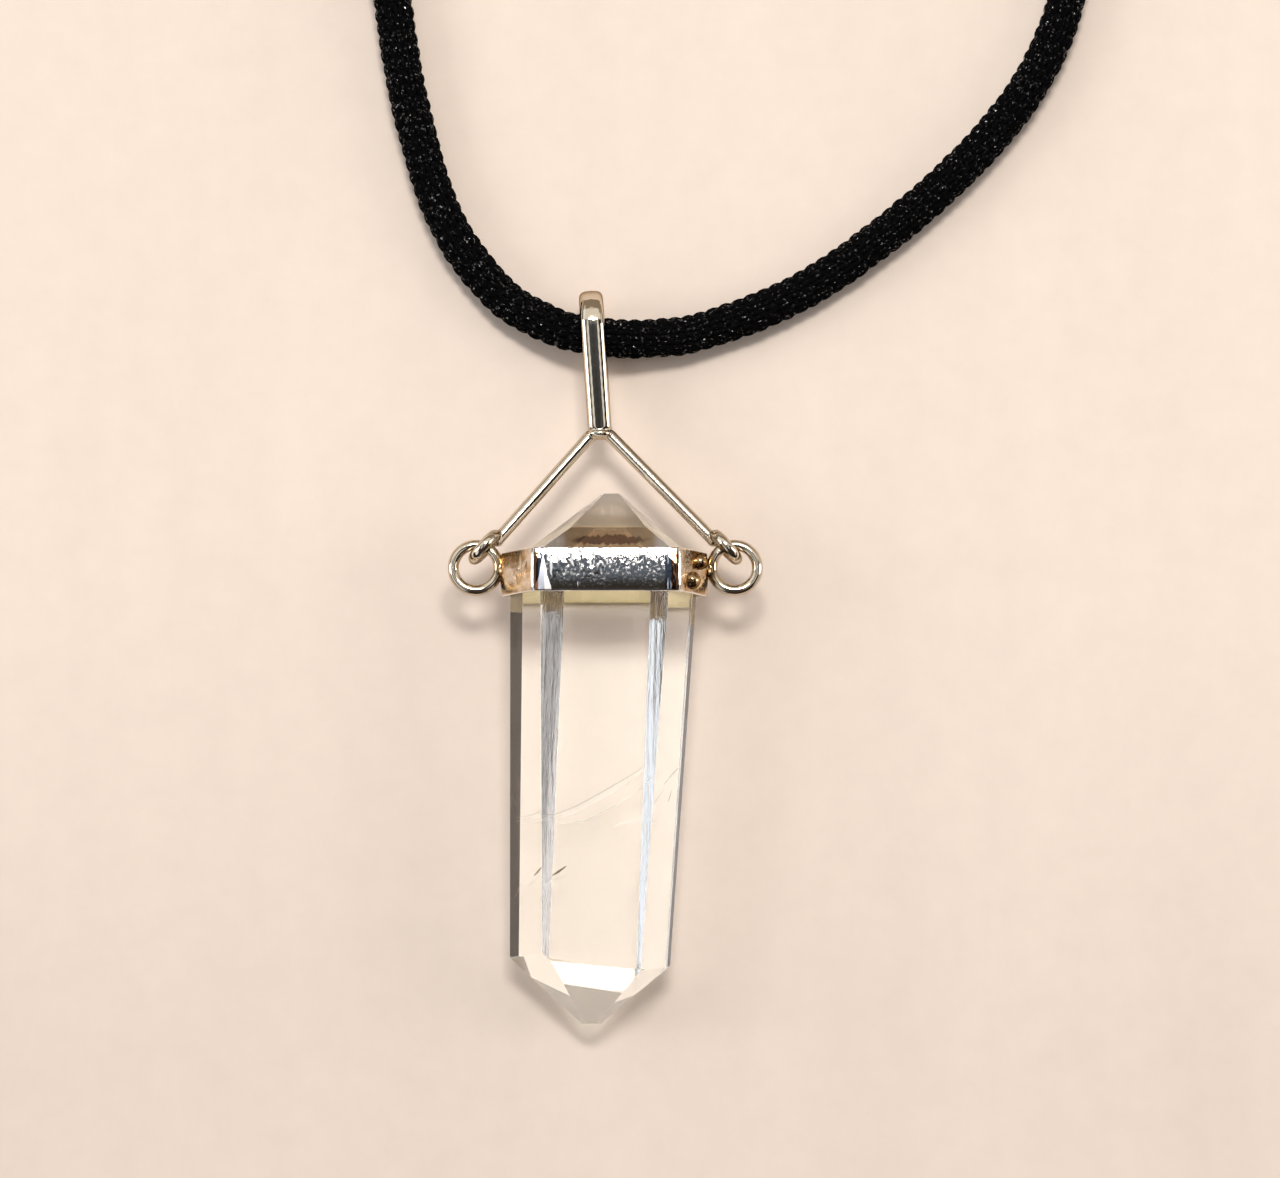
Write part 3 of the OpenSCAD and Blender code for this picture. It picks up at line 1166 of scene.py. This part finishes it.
def build_cord(clasp):
    """The cord: a dark core with knitted stitches laid round it, row after row."""
    values = settings().cord
    curve = cord_curve()
    curve.bevel_depth = values.core / 2
    curve.bevel_resolution = 6
    curve.use_fill_caps = True
    curve.materials.append(core_material())
    core = new_object("cord_core", curve)
    guide = new_object("cord_guide", cord_curve())
    length = curve.splines[0].calc_length(resolution=64)
    rows = round(length / values.stitch)
    yarn = yarn_material()
    # The stitches are uneven in the same way each time
    noise.seed_set(3)
    parts = 3
    for part in range(parts):
        first = rows * part // parts
        count = rows * (part + 1) // parts - first
        mesh = stitch_row()
        mesh.transform(Matrix.Scale(length / rows / values.stitch, 4, X_AXIS))
        mesh.transform(Matrix.Translation((first * length / rows, 0, 0)))
        piece = new_piece(f"cord_stitches_{part + 1}", mesh, yarn)
        array = piece.modifiers.new("rows", "ARRAY")
        array.count = count
        array.use_relative_offset = False
        array.use_constant_offset = True
        array.constant_offset_displace = (length / rows, 0, 0)
        bend = piece.modifiers.new("lay", "CURVE")
        bend.object = guide
        bend.deform_axis = "POS_X"
        apply_modifiers(piece)
        roughen(piece.data, 0.09 * MM, 1.6 * MM)
        placed(piece, "cord_satin", "cord")
    bpy.data.objects.remove(guide)
    placed(core, "cord_satin", "cord")


# Stage


def add_table():
    """The table that the necklace lies on."""
    values = settings().stage
    bm = bmesh.new()
    bmesh.ops.create_grid(bm, x_segments=1, y_segments=1, size=values.table_size / 2)
    table = new_piece("table", mesh_of(bm, "table"), table_material(), False)


def add_camera():
    """The camera, looking down a little from the side of the free point."""
    values = settings().stage
    data = bpy.data.cameras.new("camera")
    data.lens = values.focal_length
    data.sensor_width = 36
    data.clip_start = 0.01
    data.clip_end = 10
    camera = new_object("camera", data)
    tilt = values.view_tilt
    back = Vector((0, -math.sin(tilt), math.cos(tilt)))
    camera.location = Vector(values.target) + back * values.view_distance
    camera.rotation_euler = (tilt, 0, 0)
    bpy.context.scene.camera = camera


def add_lamp(name, place, aim, size, power, colour):
    """A soft rectangular lamp that shines at a point."""
    data = bpy.data.lights.new(name, "AREA")
    data.shape = "RECTANGLE"
    data.size, data.size_y = size
    data.energy = power
    data.color = colour
    lamp = new_object(name, data)
    lamp.location = place
    lamp.rotation_euler = (aim - place).to_track_quat("-Z", "Y").to_euler()
    lamp.visible_camera = False
    return lamp


def add_room():
    """A dim room, with white panels overhead and a window to the left."""
    world = bpy.data.worlds.new("room")
    world.use_nodes = True
    tree = world.node_tree
    bpy.context.scene.world = world
    place = put(tree, "TexCoord").outputs["Generated"]
    x, y, z = split(tree, place)
    aside = math_node(tree, "ABSOLUTE", x)
    panel = mix_colours(
        tree, remap(tree, aside, 0.13, 0.19), (0.1, 0.115, 0.14), (1, 1, 1)
    )
    tilt = settings().stage.view_tilt
    inputs = {0: place, 1: (0, -math.sin(tilt), math.cos(tilt))}
    facing = put(tree, "VectorMath", inputs, operation="DOT_PRODUCT").outputs["Value"]
    # Each patch covers those before it: the ramps that bound it, and its colour
    patches = [
        # The left half, lighter than the right
        ([(x, 0.4, -0.2)], (0.2, 0.18, 0.17)),
        # The side of the free point
        ([(y, -0.05, -0.3), (z, 0.98, 0.9)], (0.05, 0.035, 0.03)),
        # All that is low
        ([(z, 0.6, 0.48)], (0.03, 0.022, 0.018)),
        # The side of the cord, and a bright band high on it
        ([(y, 0.3, 0.5)], (0.3, 0.24, 0.18)),
        ([(y, 0.22, 0.34), (z, 0.5, 0.62)], (0.9, 0.85, 0.78)),
        # Overhead, a dark stripe between two white panels
        ([(z, 0.9, 0.96)], panel),
        # The window to the left and a slot to the right
        ([(x, -0.3, -0.5), (z, 0.76, 0.68), (z, 0.3, 0.42)], (0.99, 1.05, 1.11)),
        ([(x, 0.72, 0.8), (z, 0.56, 0.48), (z, 0.15, 0.25)], (0.8, 0.78, 0.75)),
        # The dark round the camera
        ([(facing, 0.984, 0.996)], (0.03, 0.025, 0.02)),
    ]
    colour = (0.028, 0.02, 0.014)
    for ramps, patch in patches:
        ramps = [remap(tree, *ramp) for ramp in ramps]
        colour = mix_colours(tree, product(tree, 1.0, *ramps), colour, patch)
    tree.links.new(colour, tree.nodes["Background"].inputs["Color"])
    tree.nodes["Background"].inputs["Strength"].default_value = 1


def add_lamps():
    """A soft lamp over the table and one at each side."""
    values = settings().stage
    middle = mm(0, 0, 0)
    add_lamp(
        "key", mm(30, 290, 760), middle, (0.24, 0.14), values.key_power, (1, 0.95, 0.89)
    )
    for name, side in (("left", -1), ("right", 1)):
        place = mm(side * 680, 60, 320)
        lamp = add_lamp(name, place, middle, (0.25, 0.5), values.side_power, (1, 0.94, 0.88))
        # The crystal's side strips show the room and not the lamps
        lamp.visible_transmission = False


class NECKLACE_OT_stage(Operator):
    """Set the camera, the lamps and the table"""

    bl_idname = "necklace.stage"
    bl_label = "Stage"

    def execute(self, context):
        add_camera()
        add_room()
        add_lamps()
        add_table()
        context.scene.view_settings.view_transform = "Standard"
        # Total reflections in the crystal count as glossy bounces
        context.scene.cycles.glossy_bounces = 12
        context.scene.view_settings.exposure = settings().stage.exposure
        return {"FINISHED"}


class NECKLACE_OT_cord(Operator):
    """Lay the knitted cord in its loop, closed by the clasp"""

    bl_idname = "necklace.cord"
    bl_label = "Cord and clasp"

    def execute(self, context):
        build_cord(build_clasp())
        return {"FINISHED"}


class NECKLACE_OT_crystal(Operator):
    """Cut the crystal"""

    bl_idname = "necklace.crystal"
    bl_label = "Crystal"

    def execute(self, context):
        build_crystal()
        build_veils()
        return {"FINISHED"}


class NECKLACE_OT_cap(Operator):
    """Bend the strap round the crystal and solder on its side rings"""

    bl_idname = "necklace.cap"
    bl_label = "Cap"

    def execute(self, context):
        build_strap()
        build_side_rings()
        return {"FINISHED"}


class NECKLACE_OT_yoke(Operator):
    """Hang the wire yoke with its bail on the side rings"""

    bl_idname = "necklace.yoke"
    bl_label = "Yoke"

    def execute(self, context):
        build_yoke()
        return {"FINISHED"}


# The camera and the cord are made first
OPERATORS = (
    NECKLACE_OT_stage,
    NECKLACE_OT_cord,
    NECKLACE_OT_crystal,
    NECKLACE_OT_cap,
    NECKLACE_OT_yoke,
)


class NECKLACE_PT_panel(Panel):
    """The necklace's pieces and sizes"""

    bl_idname = "NECKLACE_PT_panel"
    bl_label = "Quartz necklace"
    bl_space_type = "VIEW_3D"
    bl_region_type = "UI"
    bl_category = "Necklace"

    def draw(self, context):
        for operator in OPERATORS:
            self.layout.operator(operator.bl_idname)
        for group in SETTINGS:
            box = self.layout.box()
            values = getattr(context.scene, group)
            for name in values.__annotations__:
                box.prop(values, name)


SETTINGS = {
    "stage": StageSettings,
    "crystal": CrystalSettings,
    "silver": SilverSettings,
    "cord": CordSettings,
}


def register():
    for group in SETTINGS.values():
        bpy.utils.register_class(group)
    for name, group in SETTINGS.items():
        setattr(bpy.types.Scene, name, PointerProperty(type=group))
    for item in (*OPERATORS, NECKLACE_PT_panel):
        bpy.utils.register_class(item)


def unregister():
    for item in (NECKLACE_PT_panel, *reversed(OPERATORS)):
        bpy.utils.unregister_class(item)
    for name in SETTINGS:
        delattr(bpy.types.Scene, name)
    for group in SETTINGS.values():
        bpy.utils.unregister_class(group)


def main():
    """Builds every piece."""
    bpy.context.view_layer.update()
    register()
    for operator in OPERATORS:
        family, name = operator.bl_idname.split(".")
        getattr(getattr(bpy.ops, family), name)()


if __name__ == "__main__":
    main()
